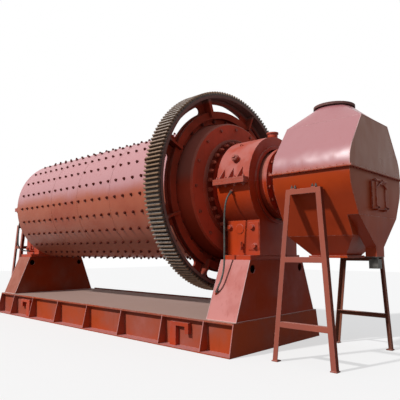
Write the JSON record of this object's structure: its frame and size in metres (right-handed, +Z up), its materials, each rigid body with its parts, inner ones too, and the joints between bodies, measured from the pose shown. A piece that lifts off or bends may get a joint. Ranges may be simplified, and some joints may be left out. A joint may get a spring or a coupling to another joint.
{
  "type": "ball mill",
  "caption": "Ball mill on a welded base: geared drum in two trunnion bearings, discharge hood on trestles with an inspection door, and a feed chute.",
  "frame": {"origin": "on the floor under the middle of the whole mill's bounding box", "axes": "+Z up, +X along the drum towards the discharge hood, the mill axis lies above the X axis"},
  "size_m": [10.077, 3.6096, 4.4248],
  "materials": {
    "red_paint": "iron-red gloss paint",
    "gear_steel": "cast steel with cut teeth, greased",
    "liner_steel": "cast manganese steel",
    "bush_metal": "white metal",
    "deck_paint": "dusty primer",
    "gate_grey": "grey paint",
    "bright_steel": "bare steel",
    "hose_rubber": "black hydraulic hose"
  },
  "bodies": {
    "frame": {"base_side_beam_front": "red_paint", "base_side_beam_back": "red_paint", "base_end_plates": "red_paint", "base_cross_beams": "red_paint", "base_lifting_hooks": "red_paint", "feed_pedestal": "red_paint", "discharge_pedestal": "red_paint", "bearing_sole_plates": "red_paint", "feed_bearing_base": "red_paint", "discharge_bearing_base": "red_paint", "feed_bearing_cap": "red_paint", "discharge_bearing_cap": "red_paint", "hood_lower_casing": "red_paint", "hood_upper_casing": "red_paint", "hood_top_transition": "red_paint", "hood_top_flange": "red_paint", "product_hopper": "red_paint", "reject_chute": "red_paint", "door_frame": "red_paint", "feed_chute": "red_paint", "front_trestle": "red_paint", "rear_trestle": "red_paint", "feed_stand_outer_bent": "red_paint", "feed_stand_inner_bent": "red_paint", "feed_stand_rails": "red_paint", "feed_bearing_bush": "bush_metal", "discharge_bearing_bush": "bush_metal", "deck_plate": "deck_paint", "reject_gate": "gate_grey", "door_hinge_pins": "bright_steel", "feed_hose": "hose_rubber", "discharge_hose": "hose_rubber"},
    "drum": {"drum_shell": "red_paint", "drum_flange": "red_paint", "drum_liner": "liner_steel", "feed_end_cover": "red_paint", "discharge_end_cover": "red_paint", "girth_gear_front_half": "gear_steel", "girth_gear_back_half": "gear_steel", "feed_trunnion": "red_paint", "discharge_trunnion": "red_paint", "feed_neck_flange": "red_paint", "discharge_neck_flange": "red_paint", "discharge_spout": "red_paint"},
    "door": {"inspection_door": "red_paint"}
  },
  "joints": [
    {"name": "drum_spin", "type": "hinge", "parent": "frame", "child": "drum", "pos_m": [0, 0, 2.62], "axis": [1, 0, 0], "continuous": true},
    {"name": "inspection_door_hinge", "type": "hinge", "parent": "frame", "child": "door", "pos_m": [5.0195, 0, 2.504], "axis": [0, -1, 0], "range_deg": [0, 80]}
  ]
}
